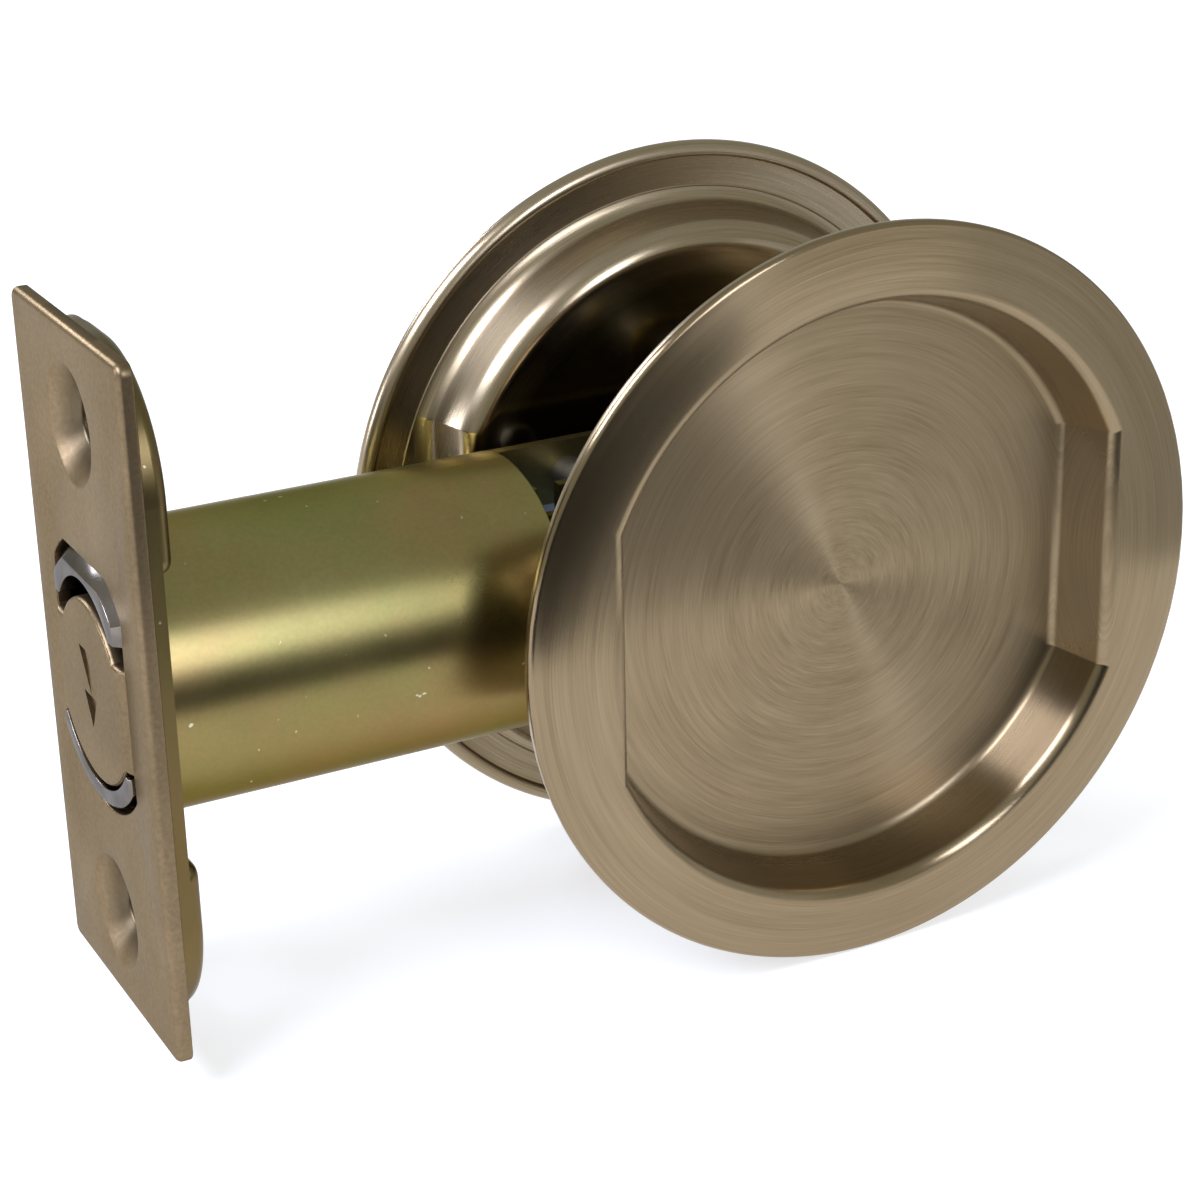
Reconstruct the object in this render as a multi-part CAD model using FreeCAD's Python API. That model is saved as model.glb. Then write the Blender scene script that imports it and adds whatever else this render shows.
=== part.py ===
"""Round flush pull set for a pocket door: two recessed cups, a tubular body and a pop-out edge pull.

Frame: millimetres, X along the latch tube with the door's edge at -X, Y through the door with the
front cup at -Y, Z up. The origin is where the tube's axis crosses the axis of the two cups.
"""
import FreeCAD, Part
import math
import os

V = FreeCAD.Vector
X_AXIS = V(1, 0, 0)
Y_AXIS = V(0, 1, 0)
Z_AXIS = V(0, 0, 1)

# Driving dimensions of the set
backset = 60.3
front_door_face = 17.45
rear_door_face = 14.0

# Faceplate on the door's edge
plate_side_margin = 1.1
plate_height = 57.15
plate_thickness = 1.3
plate_corner = 1.0
plate_edge_round = 0.55
screw_spacing = 41.3
countersink_radius = 4.9
screw_hole_radius = 2.3
dimple_wall = 0.9
dimple_land = 0.5
dimple_gap = 0.1

# Opening for the edge pull, and the raised island between the pull's arms
opening_margin = 0.55
opening_top_cut = 1.2
opening_side_cut = 2.95
lower_slot_width = 2.3
island_crown_step = 1.5
island_crown_drop = 0.85
island_lift = 0.4
island_slope = 0.9
island_edge = 0.25
bar_top = 3.3
bar_bottom = -5.3
groove_width = 1.6
groove_top = 2.2
groove_bottom = -4.3
groove_waist = -1.5
groove_flare = 2.9
groove_slant = 1.1
groove_depth = 0.35

# Backing plate with a drawn lobe behind each screw dimple
backing_side_inset = 0.25
backing_end_inset = 0.375
backing_thickness = 1.0
lobe_tube_gap = 0.25
lobe_draw = 1.0
lobe_round = 0.9
lobe_side_inset = 0.25
lobe_end_inset = 0.3
backing_head_flat = 1.7
lobe_inner_round = 1.3
lobe_hole_clearance = 0.7

# Latch tube
tube_radius = 11.6
tube_wall = 0.8
tube_end = -24.0
tube_end_round = 0.3

# Edge pull, its stem and its spring
pull_travel = 12.0
pull_clearance = 0.3
pull_proud = 0.4
pull_bevel = 0.95
pull_lower_bevel = 0.25
pull_end_gap = 0.4
pull_end_round = 0.3
pull_recess_gap = 1.8
upper_arm_gap = 0.1
upper_arm_bore_lift = 0.8
lower_arm_gap = 0.3
hub_thickness = 3.0
hub_back_room = 0.3
grip_start = 3.0
grip_length = 5.5
grip_depth = 0.8
stem_radius = 2.0
stem_neck_radius = 1.5
stem_head_radius = 2.6
stem_head_height = 0.9
fit_clearance = 0.06
spring_room = 7.8
spring_wall_gap = 2.95
spring_wire = 0.9
spring_turns = 4
spring_seat_gap = 0.05
guide_thickness = 2.0
clip_radius = 3.6
clip_thickness = 0.8
clip_gap = 0.1
clip_mouth = 1.9
stem_tip_length = 4.0

# Push catch behind the stem
catch_length = 10.5
catch_rivet_gap = 0.9
catch_socket_radius = 2.35
catch_overlap = 2.4
catch_socket_depth = 4.5

# Case plates between the cups
case_half_gap = 4.0
case_plate_thickness = 1.0
case_tang_length = 7.6
case_tang_gap = 0.67
front_case_drop = 0.3
case_back_end = 14.0
case_corner = 2.0
ear_half_width = 4.7
ear_reach = 3.8
ear_round = 3.0
notch_start = 0.3
notch_width = 2.0
notch_depth = 2.5
rivet_edge_distance = 3.0
rivet_front = -16.4
rivet_back = 10.0
rivet_body_radius = 1.55
rivet_shank_radius = 0.95
rivet_head_radius = 1.7
rivet_head_height = 0.6

# Cups
rim_radius = 31.8
rim_edge = 1.5
flange_crown = 0.35
rim_round = 0.45
recess_radius = 25.7
recess_floor_radius = 24.3
recess_flat = 23.4
recess_floor_flat = 22.0
recess_depth = 5.3
cup_wall = 0.9
lip_round = 1.2
floor_round = 0.8
shoulder_round = 1.6
flange_land = 0.3
flange_dish = 0.55
flange_rim_width = 1.0
flange_root_width = 1.2

# Posts and screws that draw the cups together
post_spacing = 25.0
post_radius = 3.0
post_foot_radius = 4.6
post_foot_height = 1.0
post_end_gap = 0.4
cup_screw_radius = 1.95
cup_screw_head_radius = 3.9
cup_screw_head_height = 1.8
cup_screw_length = 14.0
cup_screw_recess_width = 0.9
cup_screw_recess_span = 4.2
cup_screw_recess_depth = 1.0
post_bore_radius = cup_screw_radius + fit_clearance
cup_hole_radius = cup_screw_radius + 0.35
post_hole_clearance = 0.3

# Places worked out from the sizes above
plate_width = 2 * (tube_radius + plate_side_margin)
backing_width = plate_width - 2 * backing_side_inset
backing_height = plate_height - 2 * backing_end_inset
plate_front = -backset
plate_back = plate_front + plate_thickness
backing_back = plate_back + backing_thickness
lobe_floor = plate_back + lobe_draw
lobe_back = lobe_floor + backing_thickness
dimple_back = lobe_floor - dimple_gap
countersink_back = dimple_back - dimple_land
island_front = plate_front - island_lift
tube_bore = tube_radius - tube_wall
opening_radius = tube_radius - opening_margin
opening_top = opening_radius - opening_top_cut
opening_side = opening_radius - opening_side_cut
island_radius = opening_radius - lower_slot_width
island_crown_radius = island_radius - island_crown_step
pull_radius = tube_bore - pull_clearance
pull_top = opening_top - pull_clearance
pull_side = opening_side - pull_clearance
upper_arm_bore = island_crown_radius + upper_arm_gap
lower_arm_bore = island_radius + lower_arm_gap
spring_radius = tube_bore - spring_wall_gap - spring_wire / 2
case_outside = case_half_gap + case_plate_thickness
case_tang_half = math.sqrt(tube_bore ** 2 - case_outside ** 2) - case_tang_gap
case_half_height = math.sqrt(tube_radius ** 2 - case_outside ** 2)
rivet_height = case_half_height - rivet_edge_distance
catch_half_height = rivet_height - rivet_body_radius - catch_rivet_gap
lobe_inner_end = tube_radius + lobe_tube_gap
pull_front = plate_front - pull_proud
hub_front = plate_back + pull_travel + hub_back_room
hub_back = hub_front + hub_thickness
guide_front = hub_back + spring_room
guide_back = guide_front + guide_thickness
clip_front = guide_back + pull_travel + clip_gap
stem_end = clip_front + clip_thickness + stem_tip_length
catch_front = stem_end - catch_overlap
tang_front = tube_end - case_tang_length
post_height = post_spacing / 2
cup_floor = recess_depth - rim_edge
cup_back = cup_floor + cup_wall
front_cup_back = cup_back - front_door_face
rear_cup_floor = rear_door_face - cup_floor


def rod(radius, start, end, axis=X_AXIS, place=None):
    """A round bar along an axis, from one coordinate on it to another, at a place beside it."""
    base = (place or V(0, 0, 0)) + axis * start
    return Part.makeCylinder(radius, end - start, base, axis)


def cone(start_radius, end_radius, start, end, axis=X_AXIS, place=None):
    """A cone frustum along an axis between two coordinates on it."""
    base = (place or V(0, 0, 0)) + axis * start
    return Part.makeCone(start_radius, end_radius, end - start, base, axis)


def block(x_range, y_range, z_range):
    """A box from its three ranges."""
    size = [high - low for low, high in (x_range, y_range, z_range)]
    return Part.makeBox(*size, V(x_range[0], y_range[0], z_range[0]))


def prism_along_y(points, start, end):
    """A closed polygon of (x, z) points, extruded along Y."""
    corners = [V(x, start, z) for x, z in points]
    outline = Part.makePolygon(corners + corners[:1])
    return Part.Face(outline).extrude(Y_AXIS * (end - start))


def edges_where(shape, test):
    """The edges whose every vertex passes a test on its point."""
    return [edge for edge in shape.Edges if all(test(vertex.Point) for vertex in edge.Vertexes)]


def at_x(value):
    """A test for points on a plane across X."""
    return lambda point: abs(point.x - value) < 1e-4


def edges_along(shape, axis):
    """The straight edges of a shape that run along an axis."""
    straight = [edge for edge in shape.Edges if isinstance(edge.Curve, Part.Line)]
    return [edge for edge in straight if abs(abs(edge.tangentAt(edge.FirstParameter).dot(axis)) - 1) < 1e-6]


def prism_along_x(points, start, end):
    """A closed polygon of (y, z) points, extruded along X."""
    corners = [V(start, y, z) for y, z in points]
    outline = Part.makePolygon(corners + corners[:1])
    return Part.Face(outline).extrude(X_AXIS * (end - start))


def prism_along_z(points, start, end):
    """A closed polygon of (x, y) points, extruded along Z."""
    corners = [V(x, y, start) for x, y in points]
    outline = Part.makePolygon(corners + corners[:1])
    return Part.Face(outline).extrude(Z_AXIS * (end - start))


def flattened_circle(radius, side, top, place):
    """A circle cut flat at both sides and at the top, as a wire across X."""
    shoulder = math.sqrt(radius ** 2 - side ** 2)
    top_half = math.sqrt(radius ** 2 - top ** 2)
    turn = (math.atan2(shoulder, side) + math.atan2(top, top_half)) / 2
    bend = (radius * math.cos(turn), radius * math.sin(turn))
    corners = [V(place, -side, -shoulder), V(place, -side, shoulder), V(place, -top_half, top),
               V(place, top_half, top), V(place, side, shoulder), V(place, side, -shoulder)]
    return Part.Wire([
        Part.LineSegment(corners[0], corners[1]).toShape(),
        Part.Arc(corners[1], V(place, -bend[0], bend[1]), corners[2]).toShape(),
        Part.LineSegment(corners[2], corners[3]).toShape(),
        Part.Arc(corners[3], V(place, bend[0], bend[1]), corners[4]).toShape(),
        Part.LineSegment(corners[4], corners[5]).toShape(),
        Part.Arc(corners[5], V(place, 0, -radius), corners[0]).toShape(),
    ])


def edged_rod(radius, place):
    """A round boss as high as the island, chamfered at its front, with its axis at a place."""
    chamfer_end = island_front + island_edge
    boss = cone(radius - island_edge, radius, island_front, chamfer_end, place=place)
    return boss.fuse(rod(radius, chamfer_end, plate_back, place=place))


def make_island():
    """The raised island with its side bars, which slope down to the plate at both sides."""
    depth = (island_front, plate_back)
    full = (-plate_width, plate_width)
    crown = edged_rod(island_crown_radius, V(0, 0, -island_crown_drop))
    crown = crown.cut(block(depth, full, (-plate_width, 0)))
    base = edged_rod(island_radius, V(0, 0, 0)).cut(block(depth, full, (0, plate_width)))
    chamfer_end = island_front + island_edge
    bars = prism_along_y([
        (plate_back, bar_bottom), (chamfer_end, bar_bottom), (island_front, bar_bottom + island_edge),
        (island_front, bar_top - island_edge), (chamfer_end, bar_top), (plate_back, bar_top)], *full)
    ridge = opening_side - island_slope
    slopes = prism_along_z([
        (plate_back, -opening_side), (plate_front, -opening_side), (island_front, -ridge),
        (island_front, ridge), (plate_front, opening_side), (plate_back, opening_side)], *full)
    return crown.fuse([base, bars]).common(slopes).removeSplitter()


def make_groove():
    """The plain stamped groove in the island: a slanted bar above a tapered foot."""
    half = groove_width / 2
    flare = groove_flare / 2
    depth = (island_front - 1, island_front + groove_depth)
    bar = prism_along_x([(groove_slant - half, groove_top), (groove_slant + half, groove_top),
                         (half - groove_slant, groove_waist), (-half - groove_slant, groove_waist)], *depth)
    foot = prism_along_x([(-flare, groove_waist), (flare, groove_waist), (0, groove_bottom)], *depth)
    tilt = math.degrees(math.atan2(groove_depth, groove_top - groove_waist))
    bar.rotate(V(island_front + groove_depth, 0, groove_top), Y_AXIS, tilt)
    return bar.fuse(foot)


def make_faceplate():
    """The satin plate: rolled edges, two screw dimples, and the pull's opening with its island."""
    half_width = plate_width / 2
    half_height = plate_height / 2
    plate = block((plate_front, plate_back), (-half_width, half_width), (-half_height, half_height))
    plate = plate.makeFillet(plate_corner, edges_along(plate, X_AXIS))
    plate = plate.makeFillet(plate_edge_round, edges_where(plate, at_x(plate_front)))
    for height in (-screw_spacing / 2, screw_spacing / 2):
        place = V(0, 0, height)
        plate = plate.fuse(cone(countersink_radius + dimple_wall, screw_hole_radius + dimple_wall,
                                plate_front + plate_edge_round, dimple_back, place=place))
        plate = plate.cut(cone(countersink_radius, screw_hole_radius,
                               plate_front, countersink_back, place=place))
        plate = plate.cut(rod(screw_hole_radius, plate_front, dimple_back, place=place))
    opening = Part.Face(flattened_circle(opening_radius, opening_side, opening_top, plate_front - 1))
    plate = plate.cut(opening.extrude(X_AXIS * (plate_thickness + 2)))
    return plate.fuse(make_island()).removeSplitter().cut(make_groove())


def lobe(wall, start, end, sign):
    """A lobe's outline, inside its outer face by a wall, as a solid along X."""
    half_width = backing_width / 2 - lobe_side_inset - wall
    tip = backing_height / 2 - lobe_end_inset - wall
    inner = lobe_inner_end + wall
    shape = block((start, end), (-half_width, half_width), (inner, tip))
    head = [edge for edge in edges_along(shape, X_AXIS) if abs(edge.Vertexes[0].Z - tip) < 1e-4]
    shape = shape.makeFillet(half_width - backing_head_flat, head)
    foot = [edge for edge in edges_along(shape, X_AXIS) if abs(edge.Vertexes[0].Z - inner) < 1e-4]
    shape = shape.makeFillet(lobe_inner_round - wall, foot)
    if sign < 0:
        shape.rotate(V(0, 0, 0), X_AXIS, 180)
    return shape


def make_backing_plate():
    """The zinc plate behind the faceplate, with a drawn lobe that takes each screw dimple."""
    half_width = backing_width / 2
    half_height = backing_height / 2
    plate = block((plate_back, backing_back), (-half_width, half_width), (-half_height, half_height))
    plate = plate.makeFillet(half_width - backing_head_flat, edges_along(plate, X_AXIS))
    for sign in (-1, 1):
        outer = lobe(0, plate_back, lobe_back, sign)
        outer = outer.makeFillet(lobe_round, edges_where(outer, at_x(lobe_back)))
        plate = plate.fuse(outer)
    plate = plate.removeSplitter()
    for sign in (-1, 1):
        plate = plate.cut(lobe(backing_thickness, plate_back, lobe_floor, sign))
        place = V(0, 0, sign * screw_spacing / 2)
        plate = plate.cut(rod(screw_hole_radius + lobe_hole_clearance, plate_back, lobe_back, place=place))
    return plate.cut(rod(tube_bore, plate_back, backing_back))


def make_latch_tube():
    """The rolled tube from the backing plate to the cups, with a rounded free rim."""
    tube = rod(tube_radius, backing_back, tube_end)
    tube = tube.makeFillet(tube_end_round, [
        edge for edge in tube.Edges if len(edge.Vertexes) == 1 and abs(edge.Vertexes[0].X - tube_end) < 1e-4])
    return tube.cut(rod(tube_bore, backing_back, tube_end))


def arm_blank(bevel):
    """The full outline of the pull's arms, bevelled at the front, as a solid along X."""
    bevel_end = pull_front + bevel
    face = flattened_circle(pull_radius - bevel, pull_side - bevel, pull_top - bevel, pull_front)
    full = flattened_circle(pull_radius, pull_side, pull_top, bevel_end)
    tip = Part.makeLoft([face, full], True, True)
    return tip.fuse(Part.Face(full).extrude(X_AXIS * (hub_front - bevel_end))).removeSplitter()


def rounded_ends(arm, height):
    """An arm with the corners at its ends rounded; the ends lie at a height."""
    return arm.makeFillet(pull_end_round, [
        edge for edge in edges_along(arm, X_AXIS) if abs(edge.Vertexes[0].Z - height) < 1e-4])


def make_edge_pull():
    """The plated pull: two arms through the slots, joined behind the island by a hub."""
    arms_x = (pull_front, hub_front)
    full = (-tube_radius, tube_radius)
    upper_end = bar_top + pull_recess_gap
    lower_end = bar_bottom - pull_end_gap
    upper_bore = rod(upper_arm_bore, *arms_x, place=V(0, 0, upper_arm_bore_lift))
    upper = arm_blank(pull_bevel).common(block(arms_x, full, (upper_end, tube_radius))).cut(upper_bore)
    lower = arm_blank(pull_lower_bevel).common(block(arms_x, full, (-tube_radius, lower_end)))
    lower = lower.cut(rod(lower_arm_bore, *arms_x))
    upper = rounded_ends(upper, upper_end)
    grip_x = (pull_front + grip_start, pull_front + grip_start + grip_length)
    upper = upper.cut(block(grip_x, full, (pull_top - grip_depth, tube_radius)))
    lower = lower.cut(block(grip_x, full, (-tube_radius, grip_depth - pull_radius)))
    hub = rod(tube_bore - pull_clearance - 0.1, hub_front, hub_back)
    pull = hub.fuse([upper, lower]).removeSplitter()
    pull = pull.cut(rod(stem_neck_radius + fit_clearance, hub_front, hub_back))
    return pull.cut(rod(stem_head_radius + fit_clearance, hub_front, hub_front + stem_head_height))


def make_pull_stem():
    """The steel stem riveted into the pull's hub, with a neck for its clip and a knob at its tip."""
    stem = rod(stem_radius, hub_back, stem_end)
    stem = stem.fuse(rod(stem_neck_radius, hub_front + stem_head_height, hub_back))
    stem = stem.fuse(rod(stem_head_radius, hub_front, hub_front + stem_head_height))
    clip_groove = rod(stem_radius + 1, clip_front, clip_front + clip_thickness)
    clip_groove = clip_groove.cut(rod(stem_neck_radius, clip_front, clip_front + clip_thickness))
    neck_front = stem_end - catch_overlap
    knob_groove = rod(stem_radius + 1, neck_front, neck_front + 1.0)
    knob_groove = knob_groove.cut(rod(stem_neck_radius, neck_front, neck_front + 1.0))
    stem = stem.cut(clip_groove).cut(knob_groove)
    return stem.makeChamfer(0.5, edges_where(stem, at_x(stem_end)))


def make_stem_clip():
    """The open ring clipped on the stem, which stops the pull when it is fully out."""
    depth = (clip_front, clip_front + clip_thickness)
    clip = rod(clip_radius, *depth).cut(rod(stem_neck_radius, *depth))
    return clip.cut(block(depth, (-clip_mouth / 2, clip_mouth / 2), (-clip_radius, 0)))


def make_return_spring():
    """The wire spring between the hub and the guide disc: half turns of wire, each tilted the other way."""
    first = hub_back + spring_seat_gap + spring_wire / 2
    length = spring_room - spring_wire - 2 * spring_seat_gap
    rise = length / (2 * spring_turns)
    halves = []
    for number in range(2 * spring_turns):
        side = 1 if number % 2 == 0 else -1
        start = V(first + number * rise, 0, side * spring_radius)
        centre = V(first + (number + 0.5) * rise, 0, 0)
        turn_axis = (start - centre).cross(Y_AXIS) * side
        wire = Part.Face(Part.Wire(Part.makeCircle(spring_wire / 2, start, Y_AXIS)))
        halves.append(wire.revolve(centre, turn_axis, 180))
    return halves[0].fuse(halves[1:])


def make_guide_disc():
    """The disc fixed in the tube that guides the stem and carries the spring."""
    disc = rod(tube_bore - fit_clearance, guide_front, guide_back)
    return disc.cut(rod(stem_radius + fit_clearance, guide_front, guide_back))


def make_push_catch():
    """The sealed push catch between the case plates, with the socket that takes the stem's tip."""
    catch = block((catch_front, catch_front + catch_length), (-case_half_gap, case_half_gap),
                  (-catch_half_height, catch_half_height))
    catch = catch.makeFillet(0.6, edges_along(catch, Y_AXIS))
    return catch.cut(rod(catch_socket_radius, catch_front, catch_front + catch_socket_depth))


def make_case_plate(side):
    """One flat side of the case: a tang in the tube, the body and two eared screw holes."""
    ear_tip = post_height + ear_reach
    body_half = case_half_height if side > 0 else case_half_height - front_case_drop
    half = [(tang_front, case_tang_half), (tube_end, case_tang_half), (tube_end, body_half),
            (-ear_half_width, body_half), (-ear_half_width, ear_tip), (ear_half_width, ear_tip),
            (ear_half_width, body_half), (case_back_end, body_half)]
    outline = half + [(x, -z) for x, z in reversed(half)]
    inner = case_half_gap if side > 0 else -case_half_gap - case_plate_thickness
    outer = inner + case_plate_thickness
    plate = prism_along_y(outline, inner, outer)
    plate = plate.makeFillet(ear_round, [
        edge for edge in edges_along(plate, Y_AXIS) if abs(abs(edge.Vertexes[0].Z) - ear_tip) < 1e-4])
    plate = plate.makeFillet(case_corner, [
        edge for edge in edges_along(plate, Y_AXIS) if abs(edge.Vertexes[0].X - case_back_end) < 1e-4])
    for height in (-post_height, post_height):
        plate = plate.cut(rod(post_radius + post_hole_clearance, inner, outer, Y_AXIS, V(0, 0, height)))
    for place in rivet_places():
        plate = plate.cut(rod(rivet_shank_radius, inner, outer, Y_AXIS, place))
    if side < 0:
        notch_x = tube_end + notch_start
        plate = plate.cut(block((notch_x, notch_x + notch_width), (inner, outer),
                                (body_half - notch_depth, body_half)))
    return plate


def rivet_places():
    """Where the four spacer rivets of the case stand."""
    return [V(x, 0, z) for x in (rivet_front, rivet_back) for z in (-rivet_height, rivet_height)]


def make_case_rivet(place):
    """A shouldered rivet: its body spaces the case plates and its heads close over them."""
    rivet = rod(rivet_body_radius, -case_half_gap, case_half_gap, Y_AXIS, place)
    rivet = rivet.fuse(rod(rivet_shank_radius, -case_outside, case_outside, Y_AXIS, place))
    for start in (-case_outside - rivet_head_height, case_outside):
        rivet = rivet.fuse(rod(rivet_head_radius, start, start + rivet_head_height, Y_AXIS, place))
    rivet = rivet.removeSplitter()
    tip = case_outside + rivet_head_height
    rim = [edge for edge in rivet.Edges if abs(abs(edge.Vertexes[0].Y) - tip) < 1e-4]
    return rivet.makeFillet(rivet_head_height * 0.8, rim)


def well_face(mouth, floor, start, end, lip, root):
    """Half of a well's section in X and Y: a drafted wall with a flared lip and a rounded root."""
    wall = V(floor - mouth, end - start, 0).normalize()
    outward = V(wall.y, -wall.x, 0)
    lip_centre = V(mouth + lip * (1 + wall.x) / wall.y, start + lip, 0)
    root_centre = V(mouth + ((end - root - start) * wall.x - root) / wall.y, end - root, 0)
    on_mouth = lip_centre - Y_AXIS * lip
    on_wall_top = lip_centre - outward * lip
    on_wall_low = root_centre + outward * root
    on_floor = root_centre + Y_AXIS * root
    edges = [Part.LineSegment(V(0, start, 0), on_mouth).toShape()]
    if lip:
        lip_middle = lip_centre - (outward + Y_AXIS).normalize() * lip
        edges.append(Part.Arc(on_mouth, lip_middle, on_wall_top).toShape())
    root_middle = root_centre + (outward + Y_AXIS).normalize() * root
    edges.append(Part.LineSegment(on_wall_top, on_wall_low).toShape())
    edges.append(Part.Arc(on_wall_low, root_middle, on_floor).toShape())
    edges.append(Part.LineSegment(on_floor, V(0, end, 0)).toShape())
    edges.append(Part.LineSegment(V(0, end, 0), V(0, start, 0)).toShape())
    return Part.Face(Part.Wire(edges))


def drafted_well(wall, start, end, lip, root):
    """The round well with two flat sides along Y, outside the recess by a wall."""
    turned = well_face(recess_radius + wall, recess_floor_radius + wall, start, end, lip, root)
    turned = turned.revolve(V(0, 0, 0), Y_AXIS, 360)
    half = well_face(recess_flat + wall, recess_floor_flat + wall, start, end, lip, root)
    half.translate(-Z_AXIS * rim_radius)
    half = half.extrude(Z_AXIS * (2 * rim_radius))
    return turned.common(half.fuse(half.mirror(V(0, 0, 0), X_AXIS)).removeSplitter())


def flange_ring():
    """The turned flange of a cup: flat land round the mouth, sloping face, rounded rim, dished back."""
    crown = -rim_edge - flange_crown
    inner = recess_floor_flat - cup_wall
    land = recess_radius + lip_round + flange_land
    edge_top = -rim_edge + rim_round
    bend = rim_radius - rim_round
    diagonal = rim_round * math.sqrt(0.5)
    bend_middle = V(bend + diagonal, edge_top - diagonal, 0)
    slope_middle = V((land + bend) / 2, (crown - rim_edge) / 2 - flange_crown * 0.2, 0)
    corners = [V(land, crown, 0), V(inner, crown, 0), V(inner, 0, 0), V(rim_radius, 0, 0),
               V(rim_radius, edge_top, 0), V(bend, -rim_edge, 0)]
    edges = [Part.LineSegment(a, b).toShape() for a, b in zip(corners[:5], corners[1:5])]
    edges.append(Part.Arc(corners[4], bend_middle, corners[5]).toShape())
    edges.append(Part.Arc(corners[5], slope_middle, corners[0]).toShape())
    ring = Part.Face(Part.Wire(edges)).revolve(V(0, 0, 0), Y_AXIS, 360)
    dish_outer = rim_radius - flange_rim_width
    dish_inner = recess_radius + cup_wall + flange_root_width
    dish_middle = V((dish_outer + dish_inner) / 2, -flange_dish, 0)
    dish_edges = [Part.LineSegment(V(dish_inner, 0, 0), V(dish_outer, 0, 0)).toShape(),
                  Part.Arc(V(dish_outer, 0, 0), dish_middle, V(dish_inner, 0, 0)).toShape()]
    dish = Part.Face(Part.Wire(dish_edges)).revolve(V(0, 0, 0), Y_AXIS, 360)
    return ring.cut(dish)


def make_cup():
    """A stamped cup whose flange lies on the plane y = 0 and faces -Y, with its drum behind."""
    crown = -rim_edge - flange_crown
    drum = drafted_well(cup_wall, crown / 2, cup_back, 0, shoulder_round)
    well = drafted_well(0, crown, cup_floor, lip_round, floor_round)
    return flange_ring().fuse(drum).removeSplitter().cut(well)


def make_front_cup():
    """The blind cup on the front of the door."""
    cup = make_cup()
    cup.translate(V(0, -front_door_face, 0))
    return cup


def make_rear_cup():
    """The cup on the back of the door, with a dimpled hole for each screw in its floor."""
    cup = make_cup()
    cup.rotate(V(0, 0, 0), Z_AXIS, 180)
    cup.translate(V(0, rear_door_face, 0))
    dimple_back = rear_cup_floor - cup_screw_head_height - cup_wall * 0.6
    for height in (-post_height, post_height):
        place = V(0, 0, height)
        cup = cup.fuse(cone(cup_hole_radius + cup_wall * 0.8, cup_screw_head_radius + cup_wall,
                            dimple_back, rear_cup_floor, Y_AXIS, place))
        cup = cup.cut(screw_head(place, fit_clearance))
        cup = cup.cut(rod(cup_hole_radius, dimple_back, rear_cup_floor, Y_AXIS, place))
    return cup


def screw_head(place, clearance):
    """The cone of a countersunk cup screw's head, flush with the rear cup's floor."""
    return cone(cup_screw_radius + clearance, cup_screw_head_radius + clearance,
                rear_cup_floor - cup_screw_head_height, rear_cup_floor, Y_AXIS, place)


def make_cup_screw(place):
    """A countersunk screw through the rear cup into a post, with a cross recess."""
    screw = screw_head(place, 0)
    screw = screw.fuse(rod(cup_screw_radius, rear_cup_floor - cup_screw_length,
                           rear_cup_floor - cup_screw_head_height, Y_AXIS, place))
    half_span = cup_screw_recess_span / 2
    half_width = cup_screw_recess_width / 2
    depth = (rear_cup_floor - cup_screw_recess_depth, rear_cup_floor + 1)
    across = block((-half_span, half_span), depth, (place.z - half_width, place.z + half_width))
    upright = block((-half_width, half_width), depth, (place.z - half_span, place.z + half_span))
    return screw.cut(across).cut(upright)


def make_post(place):
    """A threaded post with a foot on the back of the front cup's drum."""
    end = rear_cup_floor - cup_screw_head_height - cup_wall * 0.6 - post_end_gap
    post = rod(post_foot_radius, front_cup_back, front_cup_back + post_foot_height, Y_AXIS, place)
    post = post.fuse(rod(post_radius, front_cup_back, end, Y_AXIS, place))
    return post.cut(rod(post_bore_radius, front_cup_back + post_foot_height, end, Y_AXIS, place))


def build():
    """All pieces of the set, by node name."""
    upper = V(0, 0, post_height)
    lower = V(0, 0, -post_height)
    pieces = {
        "faceplate": make_faceplate(),
        "backing_plate": make_backing_plate(),
        "latch_tube": make_latch_tube(),
        "edge_pull": make_edge_pull(),
        "pull_stem": make_pull_stem(),
        "stem_clip": make_stem_clip(),
        "return_spring": make_return_spring(),
        "guide_disc": make_guide_disc(),
        "push_catch": make_push_catch(),
        "front_case_plate": make_case_plate(-1),
        "rear_case_plate": make_case_plate(1),
        "front_cup": make_front_cup(),
        "rear_cup": make_rear_cup(),
        "upper_post": make_post(upper),
        "lower_post": make_post(lower),
        "upper_cup_screw": make_cup_screw(upper),
        "lower_cup_screw": make_cup_screw(lower),
    }
    for number, place in enumerate(rivet_places(), 1):
        pieces[f"case_rivet_{number}"] = make_case_rivet(place)
    return pieces


def main():
    """Write one STEP file for each piece."""
    os.makedirs("parts", exist_ok=True)
    for name, shape in build().items():
        print(name, shape.isValid(), len(shape.Solids), round(shape.Volume, 2))
        shape.exportStep(f"parts/{name}.step")


main()
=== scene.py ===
"""Looks of a round flush pull set for a pocket door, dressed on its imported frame."""

import logging
import math
from dataclasses import dataclass, field
from enum import Enum
from typing import NamedTuple

import bpy
import bmesh
from mathutils import Matrix, Vector

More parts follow.
